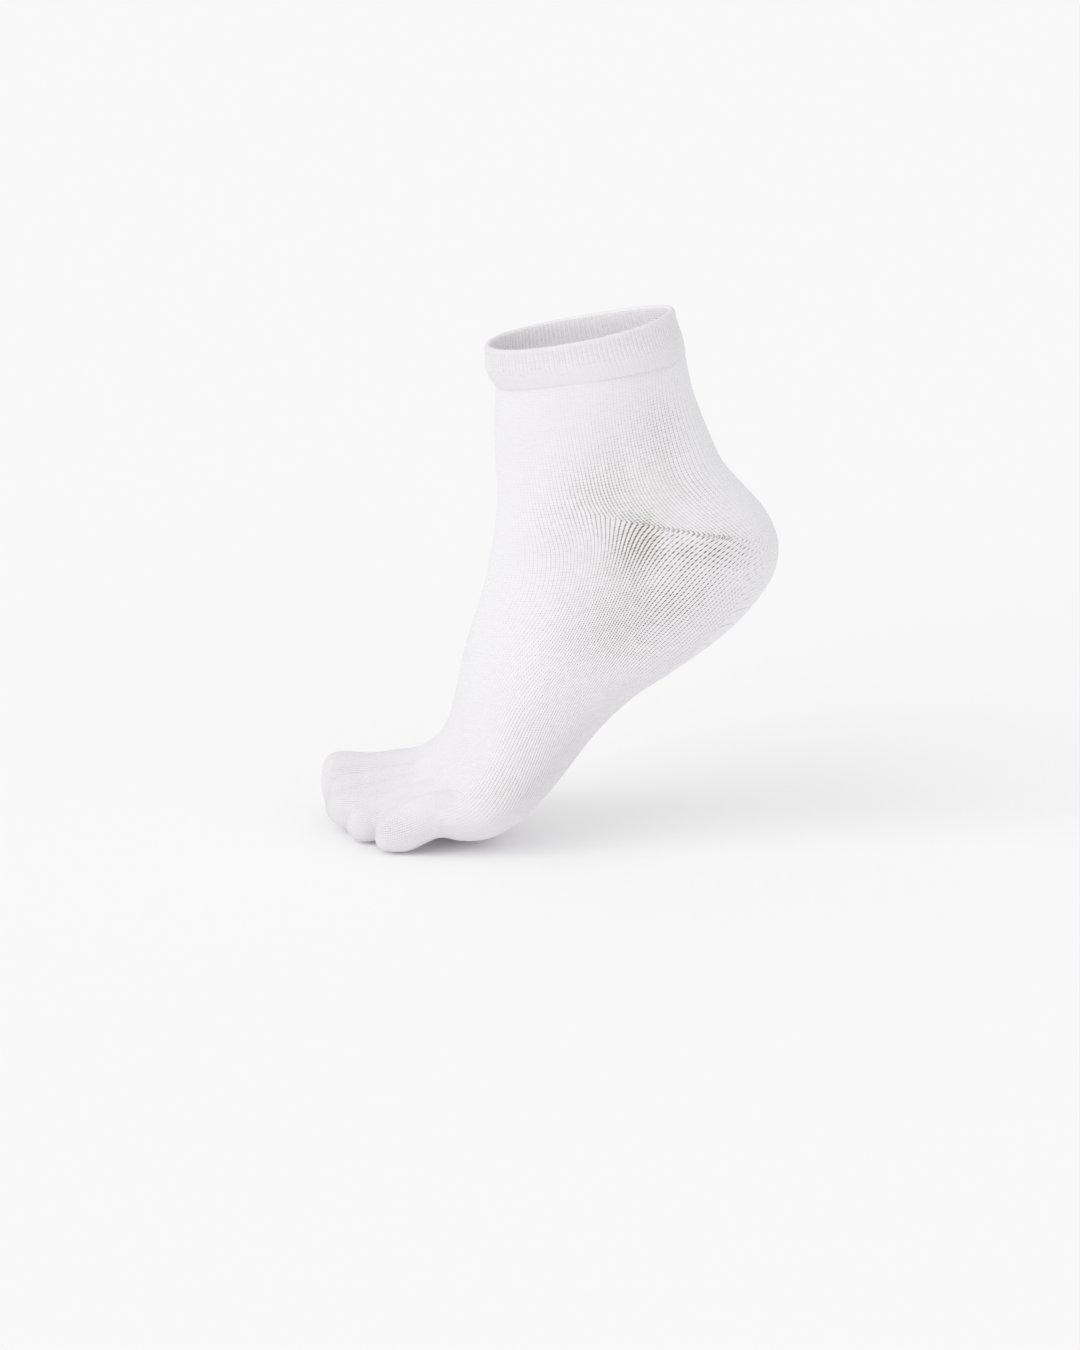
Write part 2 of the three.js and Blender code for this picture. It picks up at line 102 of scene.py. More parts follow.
# A toe: how square its rings and its tip are, where the tip ends, how many wales go round it, and the rings
# from its root, inside the foot, to its pad
ToeSection = namedtuple("ToeSection", "x y top bottom half_width")
Toe = namedtuple("Toe", "square tip_square tip wales rows")
TOES = [
    Toe(2.5, 3.6, (-28.0, -102.5, 15.6), 84,
        [(-24.0, -40, 31.6, 8.0, 10.0), (-27.0, -64, 28.4, 4.0, 12.2),
         (-28.4, -82, 25.0, 1.2, 13.1), (-28.5, -92, 25.2, 0.4, 13.0)]),
    Toe(2.2, 2.2, (-6.5, -96.8, 12.4), 58,
        [(-4.5, -44, 29.6, 9.0, 7.6), (-6.0, -68, 26.0, 4.4, 8.5), (-6.3, -84, 21.8, 1.0, 8.6)]),
    Toe(2.2, 2.1, (10.5, -95.2, 11.8), 56,
        [(9.5, -42, 29.2, 9.0, 7.5), (10.0, -63, 25.6, 5.0, 8.2), (10.5, -79, 20.4, 0.8, 8.3)]),
    Toe(2.2, 2.1, (26.5, -83.4, 7.6), 54,
        [(25.0, -38, 30.4, 9.0, 7.4), (26.0, -57, 25.9, 5.4, 8.0),
         (26.5, -66, 22.6, 2.2, 8.1), (26.5, -74, 18.2, 0.5, 8.0)]),
    Toe(2.2, 2.1, (42.0, -68.4, 6.0), 54,
        [(37.5, -27, 28.5, 12.0, 6.5), (41.0, -43, 27.2, 6.4, 8.3),
         (41.8, -53, 24.0, 1.3, 8.4), (42.2, -61, 19.2, 0.6, 8.0)]),
]
TOE_STEPS = 8
TOE_TIP_STEPS = 12
TOE_POINTS = 48


def in_frame(x, y, z):
    return (Vector((x, y, max(z, 0))) - OPENING) / 1000


def row_at(rows, place):
    """A row at any place between a table's rows, on a smooth curve through them"""
    start = min(int(place), len(rows) - 2)
    share = place - start
    near = [rows[min(max(start + step, 0), len(rows) - 1)] for step in (-1, 0, 1, 2)]
    return [
        (
            2 * b + (c - a) * share
            + (2 * a - 5 * b + 4 * c - d) * share**2
            + (3 * b - a - 3 * c + d) * share**3
        ) / 2
        for a, b, c, d in zip(*near)
    ]


def signed_power(value, power):
    return math.copysign(abs(value) ** power, value)


def body_ring(section, points):
    half_depth = math.hypot(section.front_y - section.back_y, section.front_z - section.back_z) / 2
    axis_y = (section.front_y - section.back_y) / 2 / half_depth
    axis_z = (section.front_z - section.back_z) / 2 / half_depth
    ring = []
    for i in range(points):
        angle = 2 * math.pi * i / points
        depth = signed_power(math.cos(angle), 2 / section.square)
        side = signed_power(math.sin(angle), 2 / section.square)
        narrow = (section.front_narrow if depth > 0 else section.back_narrow) * depth**2
        roll = side * (section.sole_roll * (1 - depth) + section.top_roll * (1 + depth)) / 2
        along = half_depth * depth + roll
        ring.append(in_frame(
            section.centre_x + section.lean * depth + side * section.half_width * (1 - narrow),
            (section.front_y + section.back_y) / 2 + axis_y * along + section.skew * side,
            (section.front_z + section.back_z) / 2 + axis_z * along,
        ))
    return ring


def toe_ring(section, square):
    ring = []
    for i in range(TOE_POINTS):
        angle = 2 * math.pi * i / TOE_POINTS
        up = signed_power(math.cos(angle), 2 / square)
        side = signed_power(math.sin(angle), 2 / square)
        height = (section.top + section.bottom) / 2 + (section.top - section.bottom) / 2 * up
        ring.append(in_frame(section.x + section.half_width * side, section.y, height))
    return ring


def toe_rings(toe):
    steps = TOE_STEPS * (len(toe.rows) - 1)
    rings = [toe_ring(ToeSection(*row_at(toe.rows, r / TOE_STEPS)), toe.square) for r in range(steps + 1)]
    pad = ToeSection(*toe.rows[-1])
    tip_x, tip_y, tip_z = toe.tip
    for r in range(1, TOE_TIP_STEPS + 1):
        turn = math.pi / 2 * r / (TOE_TIP_STEPS + 0.5)
        ahead = math.sin(turn) ** (2 / toe.tip_square)
        size = math.cos(turn) ** (2 / toe.tip_square)
        section = ToeSection(
            pad.x + (tip_x - pad.x) * ahead,
            pad.y + (tip_y - pad.y) * ahead,
            tip_z + (pad.top - tip_z) * size,
            tip_z + (pad.bottom - tip_z) * size,
            pad.half_width * size,
        )
        rings.append(toe_ring(section, toe.square))
    return rings


def wales_round(ring, wales):
    """The wale at each point of a ring: half of them lie on each side, spaced evenly along it"""
    count = len(ring)
    run = [0]
    for i in range(count):
        run.append(run[-1] + (ring[(i + 1) % count] - ring[i]).length)
    middle = count // 2
    one_side, other_side = run[middle], run[-1] - run[middle]
    return [
        wales / 2 * (run[i] / one_side if i <= middle else 1 + (run[i] - one_side) / other_side)
        for i in range(count)
    ]


def knitted_form(rings, wales, course_height):
    """A closed tube through rings, whose points know their wale round it and their course along it"""
    form = bmesh.new()
    wale = form.verts.layers.float.new("wale")
    course = form.verts.layers.float.new("course")
    ends = (0, len(rings) - 1)
    circle, edges = [], []
    for number, ring in enumerate(rings):
        before, edges_before = circle, edges
        made = bmesh.ops.create_circle(form, cap_ends=number in ends, radius=1, segments=len(ring))
        circle = made["verts"]
        edges = list({edge for vert in circle for edge in vert.link_edges})
        for i, (vert, place, turn) in enumerate(zip(circle, ring, wales_round(ring, wales))):
            vert.co = place
            vert[wale] = turn
            vert[course] = before[i][course] + (place - before[i].co).length / course_height if before else 0
        if before:
            bmesh.ops.bridge_loops(form, edges=edges_before + edges)
    bmesh.ops.recalc_face_normals(form, faces=form.faces)
    return form


body_steps = BODY_STEPS * (len(BODY_ROWS) - 1)
body_rings = [
    body_ring(Section(*row_at(BODY_ROWS, r / BODY_STEPS)), BODY_POINTS) for r in range(body_steps + 1)
]
forms = [(knitted_form(body_rings, BODY_WALES, COURSE_HEIGHT), BODY_WALES)]
forms += [(knitted_form(toe_rings(toe), toe.wales, TOE_COURSE_HEIGHT), toe.wales) for toe in TOES]

together = bmesh.new()
for form, wales in forms:
    part = bpy.data.meshes.new("form")
    form.to_mesh(part)
    together.from_mesh(part)
    bpy.data.meshes.remove(part)
joined_mesh = bpy.data.meshes.new("sock_knit")
together.to_mesh(joined_mesh)
together.free()
sock = bpy.data.objects.new("sock_knit", joined_mesh)
bpy.context.scene.collection.objects.link(sock)
remesh = sock.modifiers.new("joined", "REMESH")
remesh.mode = "VOXEL"
remesh.voxel_size = VOXEL
remesh.use_smooth_shade = True
remeshed = bpy.data.meshes.new_from_object(sock.evaluated_get(bpy.context.evaluated_depsgraph_get()))
sock.modifiers.clear()
sock.data = remeshed
remeshed.name = "sock_knit"
bpy.data.meshes.remove(joined_mesh)

knit = bmesh.new()
knit.from_mesh(remeshed)
for turn in range(SMOOTHING):
    bmesh.ops.smooth_vert(
        knit, verts=knit.verts, factor=0.5, use_axis_x=True, use_axis_y=True, use_axis_z=True,
    )

# Stretched cloth spans the grooves between the toes instead of following them to the bottom
SPAN_TURNS = 12
SPAN_SHARE = 0.5
SPAN_FROM = -28.0
toe_verts = [vert for vert in knit.verts if vert.co.y * 1000 + OPENING.y < SPAN_FROM]
for turn in range(SPAN_TURNS):
    knit.normal_update()
    spans = []
    for vert in toe_verts:
        beside = [edge.other_vert(vert).co for edge in vert.link_edges]
        spans.append(sum(beside, Vector()) / len(beside) - vert.co)
    for vert, span in zip(toe_verts, spans):
        if span.dot(vert.normal) > 0:
            vert.co += span * SPAN_SHARE

# Soft creases, each as a trough along a line in the side view from (y, z) to (y, z), with its place and reach
# across the foot, its half width and its depth
Crease = namedtuple("Crease", "start_y start_z end_y end_z x reach_x half_width depth")
CREASES = [
    (30.0, 190.0, 42.0, 152.0, 30, 22, 6.0, 0.9),
    (52.0, 182.0, 66.0, 150.0, 30, 22, 5.0, 0.7),
    (48.0, 158.0, 72.0, 146.0, 30, 22, 7.0, 1.1),
    (-6.0, 176.0, -2.0, 140.0, 30, 22, 5.0, 0.35),
    (-21.0, 128.0, -4.0, 121.0, 30, 22, 3.5, 0.45),
    (-22.0, 121.0, -2.0, 113.0, 30, 22, 3.0, 0.3),
    (-30.0, 60.0, -14.0, 70.0, 36, 22, 4.0, 0.3),
    (26.0, 188.0, 38.0, 154.0, -30, 22, 6.0, 0.8),
    (50.0, 178.0, 63.0, 152.0, -30, 22, 5.5, 0.8),
    (46.0, 157.0, 70.0, 147.0, -30, 22, 6.5, 1.0),
    (-22.0, 126.0, -2.0, 117.0, -30, 22, 4.0, 0.5),
    (-34.0, 76.0, 2.0, 62.0, -34, 22, 6.0, 0.5),
    (-20.0, 44.0, 12.0, 52.0, -36, 22, 5.0, 0.45),
    (-74.0, 24.5, -66.0, 27.0, 3, 7, 1.6, 0.5),
    (-71.0, 22.5, -63.0, 25.5, 5, 7, 1.6, 0.45),
    (-70.0, 21.0, -60.0, 25.0, 16, 6, 1.8, 0.45),
    (-66.0, 19.0, -54.0, 24.0, 33, 5, 1.8, 0.4),
    (-56.0, 6.0, -42.0, 11.0, 48, 8, 2.2, 0.35),
    (-84.0, 24.0, -70.0, 27.0, -17, 6, 2.0, 0.4),
]

# How a crease tapers to its ends, and how many reaches or half widths away it is no longer felt
CREASE_TAPER = 0.6
CREASE_END = 0.02
FAR_ASIDE = 2
FAR_ACROSS = 2.5


def press_creases(cloth):
    cloth.normal_update()
    moves = [Vector() for vert in cloth.verts]
    for crease in (Crease(*row) for row in CREASES):
        start = in_frame(0, crease.start_y, crease.start_z)
        run = in_frame(0, crease.end_y, crease.end_z) - start
        for i, vert in enumerate(cloth.verts):
            aside = (vert.co.x * 1000 - crease.x) / crease.reach_x
            if abs(aside) > FAR_ASIDE:
                continue
            reach = Vector((0, vert.co.y, vert.co.z)) - start
            share = min(max(reach.dot(run) / run.length_squared, 0), 1)
            across = (reach - run * share).length * 1000 / crease.half_width
            if across > FAR_ACROSS:
                continue
            ends = math.sin(math.pi * min(max(share, CREASE_END), 1 - CREASE_END)) ** CREASE_TAPER
            depth = crease.depth / 1000 * ends * math.exp(-across**2 - aside**2)
            moves[i] -= vert.normal * depth
    for vert, move in zip(cloth.verts, moves):
        vert.co += move


press_creases(knit)

# The knit ends just inside the cuff. The seam under the cuff rises towards the sides of the leg, which a sag
# below zero says.
CUFF_SEAM = Section(-22.8, 196.9, 57.2, 211.0, 0, 32.6, 0, 0, 0, 0, 0, 0, 2.2)
SEAM_SAG = -1.6
SEAM_TUCK = 0.001


def seam_sag(x):
    """How much lower the seam lies at x than in the middle of the leg, in metres"""
    return SEAM_SAG / 1000 * (x * 1000 / CUFF_SEAM.half_width) ** 2


seam_front = in_frame(0, CUFF_SEAM.front_y, CUFF_SEAM.front_z)
seam_back = in_frame(0, CUFF_SEAM.back_y, CUFF_SEAM.back_z)
seam_up = Vector((1, 0, 0)).cross(seam_back - seam_front).normalized()
for vert in knit.verts:
    vert.co.z += seam_sag(vert.co.x)
bmesh.ops.bisect_plane(
    knit, geom=knit.verts[:] + knit.edges[:] + knit.faces[:], plane_co=seam_front + seam_up * SEAM_TUCK,
    plane_no=seam_up, clear_outer=True,
)
for vert in knit.verts:
    vert.co.z -= seam_sag(vert.co.x)

# How far the loops are drawn open, as soft patches in the side view
OpenPatch = namedtuple("OpenPatch", "y z reach_y reach_z much")
OPEN_PATCHES = [
    (45, 141, 10, 11, 0.75),
    (38, 131, 12, 14, 0.6),
    (28, 156, 14, 14, 0.4),
    (74, 134, 24, 9, 0.75),
    (66, 116, 24, 15, 0.6),
    (46, 102, 24, 18, 0.5),
    (24, 94, 28, 26, 0.5),
    (10, 140, 18, 22, 0.35),
    (46, 172, 26, 24, 0.4),
    (62, 190, 16, 16, 0.5),
    (72, 160, 16, 14, 0.42),
    (4, 52, 26, 22, 0.5),
    (-10, 28, 24, 14, 0.4),
    (18, 168, 22, 26, 0.15),
    (-56, 11, 18, 9, 0.45),
    (-84, 20, 20, 11, 0.34),
]
OPEN_LEAST = 0.08
OPEN_MOST = 1.25
OPEN_IN_MIDDLE = 0.25
SIDE_X = 22
TOES_START = -56


def drawn_open(place):
    """How far the loops at a place are open: less in the middle of the leg and foot than on their sides"""
    spot = place * 1000 + OPENING
    most = OPEN_LEAST
    for patch in (OpenPatch(*row) for row in OPEN_PATCHES):
        along_y = (spot.y - patch.y) / patch.reach_y
        along_z = (spot.z - patch.z) / patch.reach_z
        most += patch.much * math.exp(-(along_y**2) - along_z**2)
    aside = 1 if spot.y < TOES_START else min(abs(spot.x) / SIDE_X, 1)
    return min(most, OPEN_MOST) * (OPEN_IN_MIDDLE + (1 - OPEN_IN_MIDDLE) * aside**2)


def knit_place(form, tree, wales, point):
    """The wale and course of a point, read off the form that it lies on"""
    spot, normal, index, distance = tree.find_nearest(point)
    corners = form.faces[index].verts[:]
    shares = interpolate.poly_3d_calc([corner.co for corner in corners], spot)
    wale = form.verts.layers.float["wale"]
    course = form.verts.layers.float["course"]
    first = corners[0][wale]
    round_tube = sum(
        share * (corner[wale] - wales * round((corner[wale] - first) / wales))
        for share, corner in zip(shares, corners)
    )
    return round_tube, sum(share * corner[course] for share, corner in zip(shares, corners))


def lay_knit(cloth):
    """Gives each corner of the cloth its wale and course, read off the tube or pocket nearest to its face"""
    trees = []
    for form, wales in forms:
        form.faces.ensure_lookup_table()
        trees.append(BVHTree.FromBMesh(form))
    uv = cloth.loops.layers.uv.new("knit")
    known = {}
    for face in cloth.faces:
        centre = face.calc_center_median()
        gaps = [tree.find_nearest(centre)[3] for tree in trees]
        nearest = gaps.index(min(gaps))
        form, wales = forms[nearest]
        first = None
        for loop in face.loops:
            key = (loop.vert.index, nearest)
            if key not in known:
                known[key] = knit_place(form, trees[nearest], wales, loop.vert.co)
            wale, course = known[key]
            first = wale if first is None else first
            loop[uv].uv = (wale - wales * round((wale - first) / wales), course)


knit.verts.index_update()
lay_knit(knit)
knit.to_mesh(remeshed)
drawn = remeshed.attributes.new("open", "FLOAT", "POINT")
drawn.data.foreach_set("value", [drawn_open(vert.co) for vert in remeshed.vertices])
knit.free()
for form, wales in forms:
    form.free()
wall = sock.modifiers.new("wall", "SOLIDIFY")
wall.thickness = KNIT_WALL
wall.offset = -1


def put(tree, kind, feeds=(), **settings):
    made = tree.nodes.new("ShaderNode" + kind)
    for name, value in settings.items():
        setattr(made, name, value)
    for socket, source in feeds:
        if isinstance(source, bpy.types.NodeSocket):
            tree.links.new(source, made.inputs[socket])
        else:
            made.inputs[socket].default_value = source
    return made


def maths(tree, operation, *terms):
    return put(tree, "Math", enumerate(terms), operation=operation).outputs[0]


def ramp(tree, value, low, high):
    """A smooth step from 0 at low to 1 at high"""
    feeds = [("Value", value), ("From Min", low), ("From Max", high)]
    return put(tree, "MapRange", feeds, interpolation_type="SMOOTHSTEP").outputs[0]


def mixed_value(tree, share, first, second):
    """The first value where share is 0, and the second where it is 1"""
    return put(tree, "Mix", [(0, share), (2, first), (3, second)]).outputs[0]


def mixed_colour(tree, share, first, second):
    """The first colour where share is 0, and the second where it is 1"""
    return put(tree, "Mix", [(0, share), (6, first), (7, second)], data_type="RGBA").outputs[2]


# The shape of a loop, in shares of half a wale and of a course: how far its legs slant, where their crest
# lies and how much it bulges
LOOP_SLANT = 0.45
LEG_CREST = 0.42
LOOP_BULGE = 0.16

# The gap beside a wale, shown as painted shade: where it starts when the loops are closed, how much sooner
# when they are drawn open, how soft its edge is, how far the yarn closes it once in each course, and on what
# part of the course's wave, how faint and how uneven it is by chance, and how deep it lies
GAP_START = 0.90
GAP_WIDENS = 0.34
GAP_EDGE = 0.26
GAP_CLOSED = 0.72
GAP_CLOSES = (-0.8, 0.5)
GAP_LEAST = 0.7
GAP_UNEVEN = 0.5
GAP_DEPTH = 0.55

# The small eye in the middle of a loop, painted dark as shade, with its edge along the wale and across
# it, and the painted shade of the loops that happen to lie deeper
EYE_DARK = 0.45
EYE_EDGE_ALONG = (0.2, 0.9)
EYE_EDGE_ACROSS = (0.08, 0.3)
LOOP_SHADE = 0.06


def knit_loops_group():
    """Loops of plain knit: each wale is a braid of slanting legs with a gap beside it, each course a loop"""
    tree = bpy.data.node_groups.new("knit_loops", "ShaderNodeTree")
    for name in ("Wale", "Course", "Open"):
        tree.interface.new_socket(name, in_out="INPUT", socket_type="NodeSocketFloat")
    for name in ("Height", "Gap"):
        tree.interface.new_socket(name, in_out="OUTPUT", socket_type="NodeSocketFloat")
    given = tree.nodes.new("NodeGroupInput").outputs
    across = maths(tree, "ABSOLUTE", maths(tree, "SUBTRACT", maths(tree, "FRACT", given["Wale"]), 0.5))
    across = maths(tree, "MULTIPLY", across, 2)
    slanted = maths(tree, "MULTIPLY_ADD", across, LOOP_SLANT, given["Course"])
    off_crest = maths(tree, "ABSOLUTE", maths(tree, "SUBTRACT", across, LEG_CREST))
    leg = maths(tree, "SUBTRACT", 1, maths(tree, "POWER", off_crest, 2))
    loop = maths(tree, "SINE", maths(tree, "MULTIPLY", slanted, 2 * math.pi))
    bulge = maths(tree, "MULTIPLY_ADD", loop, LOOP_BULGE, 1 - LOOP_BULGE)
    height = maths(tree, "MULTIPLY", leg, bulge)
    cell = put(tree, "CombineXYZ", [
        (0, maths(tree, "ROUND", given["Wale"])),
        (1, maths(tree, "FLOOR", given["Course"])),
    ])
    chance = put(tree, "TexWhiteNoise", [("Vector", cell.outputs[0])], noise_dimensions="2D").outputs["Value"]
    start = maths(tree, "MULTIPLY_ADD", given["Open"], -GAP_WIDENS, GAP_START)
    line = ramp(tree, across, start, maths(tree, "ADD", start, GAP_EDGE))
    turn = maths(tree, "COSINE", maths(tree, "MULTIPLY", given["Course"], 2 * math.pi))
    hole = maths(tree, "MULTIPLY_ADD", ramp(tree, turn, *GAP_CLOSES), -GAP_CLOSED, 1)
    uneven = maths(tree, "MULTIPLY_ADD", chance, GAP_UNEVEN, GAP_LEAST)
    gap = maths(tree, "MULTIPLY", maths(tree, "MULTIPLY", line, hole), uneven)
    opposite = maths(tree, "MULTIPLY", turn, -1)
    in_middle = maths(tree, "SUBTRACT", 1, ramp(tree, across, *EYE_EDGE_ACROSS))
    eye = maths(tree, "MULTIPLY", ramp(tree, opposite, *EYE_EDGE_ALONG), in_middle)
    eye = maths(tree, "MULTIPLY", eye, maths(tree, "MULTIPLY", chance, EYE_DARK))
    shade = maths(tree, "MULTIPLY", maths(tree, "MULTIPLY", chance, given["Open"]), LOOP_SHADE)
    gap = maths(tree, "MAXIMUM", maths(tree, "MAXIMUM", gap, eye), shade)
    sunk = maths(tree, "MULTIPLY_ADD", gap, -GAP_DEPTH, height)
    out = tree.nodes.new("NodeGroupOutput")
    tree.links.new(sunk, out.inputs["Height"])
    tree.links.new(gap, out.inputs["Gap"])
    return tree


def yarn_group():
    """Uneven cotton yarn: a slow change of tone from place to place, and a fine fibrous grain"""
    tree = bpy.data.node_groups.new("cotton_yarn", "ShaderNodeTree")
    tree.interface.new_socket("Place", in_out="INPUT", socket_type="NodeSocketVector")
    for name in ("Tone", "Grain"):
        tree.interface.new_socket(name, in_out="OUTPUT", socket_type="NodeSocketFloat")
    place = tree.nodes.new("NodeGroupInput").outputs["Place"]
    slow = put(tree, "TexNoise", [("Vector", place), ("Scale", 45.0), ("Detail", 2.0)]).outputs[0]
    grain = put(tree, "TexNoise", [("Vector", place), ("Scale", 1500.0), ("Detail", 3.0)]).outputs[0]
    out = tree.nodes.new("NodeGroupOutput")
    tree.links.new(slow, out.inputs["Tone"])
    tree.links.new(grain, out.inputs["Grain"])
    return tree


knit_loops = knit_loops_group()
cotton_yarn = yarn_group()

COTTON_WHITE = (0.885, 0.872, 0.89, 1)
COTTON_DULL = (0.86, 0.846, 0.866, 1)
# Painted shade: the warm dark colour in the gaps between the loops, where the hollow inside would show
# through
GAP_SHADE = (0.17, 0.09, 0.075, 1)
KNIT_RELIEF = 0.00026
GRAIN_RELIEF = 0.5

# How dark the painted shade in the gaps shows where the loops are closed, and how much darker where drawn
# open
GAP_SHOWS = 0.12
GAP_SHOWS_OPEN = 1.1

# The gore line from its front point to the back of the heel, and how the wales bend where they cross it:
# the shear at the line and how fast it fades, below the line and above it
GORE_FRONT = (44, 145.4)
GORE_BACK = (95, 136)
SHEAR_BELOW = 1.5
SHEAR_ABOVE = 1.0
SHEAR_FADES_BELOW = 0.019
SHEAR_FADES_ABOVE = 0.009
WALE_PITCH = 0.0019

# Where the bend sets in and is full, along the line from its front point and across the heel, and the row
# of small holes on the line: their pitch, their edge across the line and along it, where the row starts and
# ends, and how dark the painted shade in them is
BEND_SETS_IN = (-0.034, 0.014)
BEND_SIDE = 0.022
HOLE_PITCH = 0.0021
HOLE_EDGE = (0.0006, 0.0013)
HOLE_EDGE_ALONG = (0.1, 0.9)
HOLES_START = (-0.001, 0.002)
HOLES_END = (0.036, 0.041)
HOLE_DARK = 0.6


def gore_bend(tree):
    """How many wales to add where they bend at the gore, a mask of the holes on its line, and the place"""
    gore_start = in_frame(0, *GORE_FRONT)
    along = (in_frame(0, *GORE_BACK) - gore_start).normalized()
    above = Vector((1, 0, 0)).cross(along)
    place = put(tree, "TexCoord").outputs["Object"]
    from_start = put(tree, "VectorMath", [(0, place), (1, gore_start)], operation="SUBTRACT").outputs[0]
    over = put(tree, "VectorMath", [(0, from_start), (1, above)], operation="DOT_PRODUCT").outputs["Value"]
    back = put(tree, "VectorMath", [(0, from_start), (1, along)], operation="DOT_PRODUCT").outputs["Value"]
    distance = maths(tree, "ABSOLUTE", over)
    is_above = maths(tree, "GREATER_THAN", over, 0)
    bends = []
    for shear, fades in ((SHEAR_BELOW, SHEAR_FADES_BELOW), (SHEAR_ABOVE, SHEAR_FADES_ABOVE)):
        left = maths(tree, "EXPONENT", maths(tree, "MULTIPLY", distance, -1 / fades))
        bends.append(maths(tree, "MULTIPLY", maths(tree, "SUBTRACT", 1, left), shear * fades / WALE_PITCH))
    bend = mixed_value(tree, is_above, *bends)
    side = put(tree, "SeparateXYZ", [(0, place)]).outputs[0]
    side = put(tree, "MapRange", [("Value", side), ("From Min", -BEND_SIDE), ("From Max", BEND_SIDE),
                                  ("To Min", -1.0), ("To Max", 1.0)]).outputs[0]
    behind = ramp(tree, back, *BEND_SETS_IN)
    bend = maths(tree, "MULTIPLY", maths(tree, "MULTIPLY", bend, behind), side)
    row = maths(tree, "SUBTRACT", 1, ramp(tree, distance, *HOLE_EDGE))
    turn = maths(tree, "MULTIPLY", maths(tree, "ADD", back, distance), 2 * math.pi / HOLE_PITCH)
    row = maths(tree, "MULTIPLY", row, ramp(tree, maths(tree, "COSINE", turn), *HOLE_EDGE_ALONG))
    before_end = maths(tree, "SUBTRACT", 1, ramp(tree, back, *HOLES_END))
    within = maths(tree, "MULTIPLY", ramp(tree, back, *HOLES_START), before_end)
    return bend, maths(tree, "MULTIPLY", row, within), place


def knit_surface(tree, cotton, gap, loops, yarn, sheen):
    """Matt cotton with painted shade in its gaps, in relief where the loops and the yarn's grain stand out"""
    shader = tree.nodes["Principled BSDF"]
    height = maths(tree, "MULTIPLY_ADD", yarn.outputs["Grain"], GRAIN_RELIEF, loops.outputs["Height"])
    bump = put(tree, "Bump", [("Strength", 0.8), ("Distance", KNIT_RELIEF), ("Height", height)])
    tree.links.new(mixed_colour(tree, gap, cotton, GAP_SHADE), shader.inputs["Base Color"])
    tree.links.new(bump.outputs[0], shader.inputs["Normal"])
    shader.inputs["Roughness"].default_value = 0.95
    shader.inputs["Specular IOR Level"].default_value = 0.15
    shader.inputs["Sheen Weight"].default_value = sheen
    shader.inputs["Sheen Roughness"].default_value = 0.6


def plain_knit_material():
    material = bpy.data.materials.new("plain_knit")
    material.use_nodes = True
    tree = material.node_tree
    bend, gore_holes, place = gore_bend(tree)
    lie = put(tree, "SeparateXYZ", [(0, put(tree, "UVMap", uv_map="knit").outputs[0])]).outputs
    open_share = put(tree, "Attribute", attribute_name="open").outputs["Fac"]
    loops = put(tree, "Group", node_tree=knit_loops)
    tree.links.new(maths(tree, "ADD", lie[0], bend), loops.inputs["Wale"])
    tree.links.new(lie[1], loops.inputs["Course"])
    tree.links.new(open_share, loops.inputs["Open"])
    yarn = put(tree, "Group", node_tree=cotton_yarn)
    tree.links.new(place, yarn.inputs["Place"])
    shows = maths(tree, "MULTIPLY_ADD", open_share, GAP_SHOWS_OPEN, GAP_SHOWS)
    # Painted shade: the gaps, and the holes on the gore line, darken the cotton
    gap = maths(tree, "MULTIPLY", loops.outputs["Gap"], shows)
    gap = maths(tree, "MAXIMUM", gap, maths(tree, "MULTIPLY", gore_holes, HOLE_DARK))
    cotton = mixed_colour(tree, yarn.outputs["Tone"], COTTON_DULL, COTTON_WHITE)
    knit_surface(tree, cotton, gap, loops, yarn, sheen=0.25)
    return material


sock.data.materials.clear()
sock.data.materials.append(plain_knit_material())
sock.data.shade_smooth()
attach(sock, "root")
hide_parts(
    "leg", "heel", "instep", "arch", "ball",
    "toe_big", "toe_second", "toe_third", "toe_fourth", "toe_little",
)


# Cuff: a double one-by-one rib of the same cotton, folded over at the rim, with a plain welt below that
# bulges over the seam to the leg. Its ribs show outside and, on the folded layer, inside.

RIM = Section(-26.2, 212.8, 51.6, 229.0, 0, 32.6, 0, 0, 0, 0, 0, 0, 2.2)
CUFF_MIDDLE = Section(-26.2, 204.4, 54.4, 220.4, 0, 32.6, 0, 0, 0, 0, 0, 0, 2.2)
RIB_COUNT = 124
POINTS_A_RIB = 6
CUFF_POINTS = RIB_COUNT * POINTS_A_RIB
RIB_DEPTH = 0.3

# How much lower the rim lies at its sides than in its middle, and how far it also tips down on the little
# toe's side: below zero, so there it tips up
RIM_SAG = 1.0
RIM_TIP = -1.0

# Round the cuff's profile, from its inner foot over the outside to the rim and down inside to where it began:
# height as a share of the cuff's, how far it stands proud of the plain form, and the share of the rib's depth
CuffRow = namedtuple("CuffRow", "height proud rib")
CUFF_ROWS = [
    (0.02, -0.7, 0.0),
    (-0.01, 0.2, 0.0),
    (0.04, 0.5, 0.0),
    (0.13, 0.75, 0.05),
    (0.26, 1.05, 0.1),
    (0.38, 1.15, 0.3),
    (0.48, 1.05, 0.8),
    (0.62, 0.9, 1.0),
    (0.80, 0.9, 1.0),
    (0.94, 1.2, 0.8),
    (1.03, 1.4, 0.5),
    (1.085, 0.9, 0.3),
    (1.10, 0.1, 0.3),
    (1.06, -0.8, 0.5),
    (0.92, -1.2, 0.8),
    (0.70, -1.3, 1.0),
    (0.45, -1.2, 1.0),
    (0.20, -1.1, 0.6),
    (0.00, -1.1, 0.0),
    (0.02, -0.7, 0.0),
]
CUFF_STEPS = 3
CUFF_COURSE = 0.0011

# The inside starts past this row of the profile. Its paler colour is painted light through the thin cloth.
INSIDE_ROW = 12
CUFF_WHITE = (0.85, 0.835, 0.858, 1)
CUFF_DULL = (0.82, 0.805, 0.83, 1)
CUFF_PAINTED_LIGHT = (0.99, 0.98, 0.99, 1)
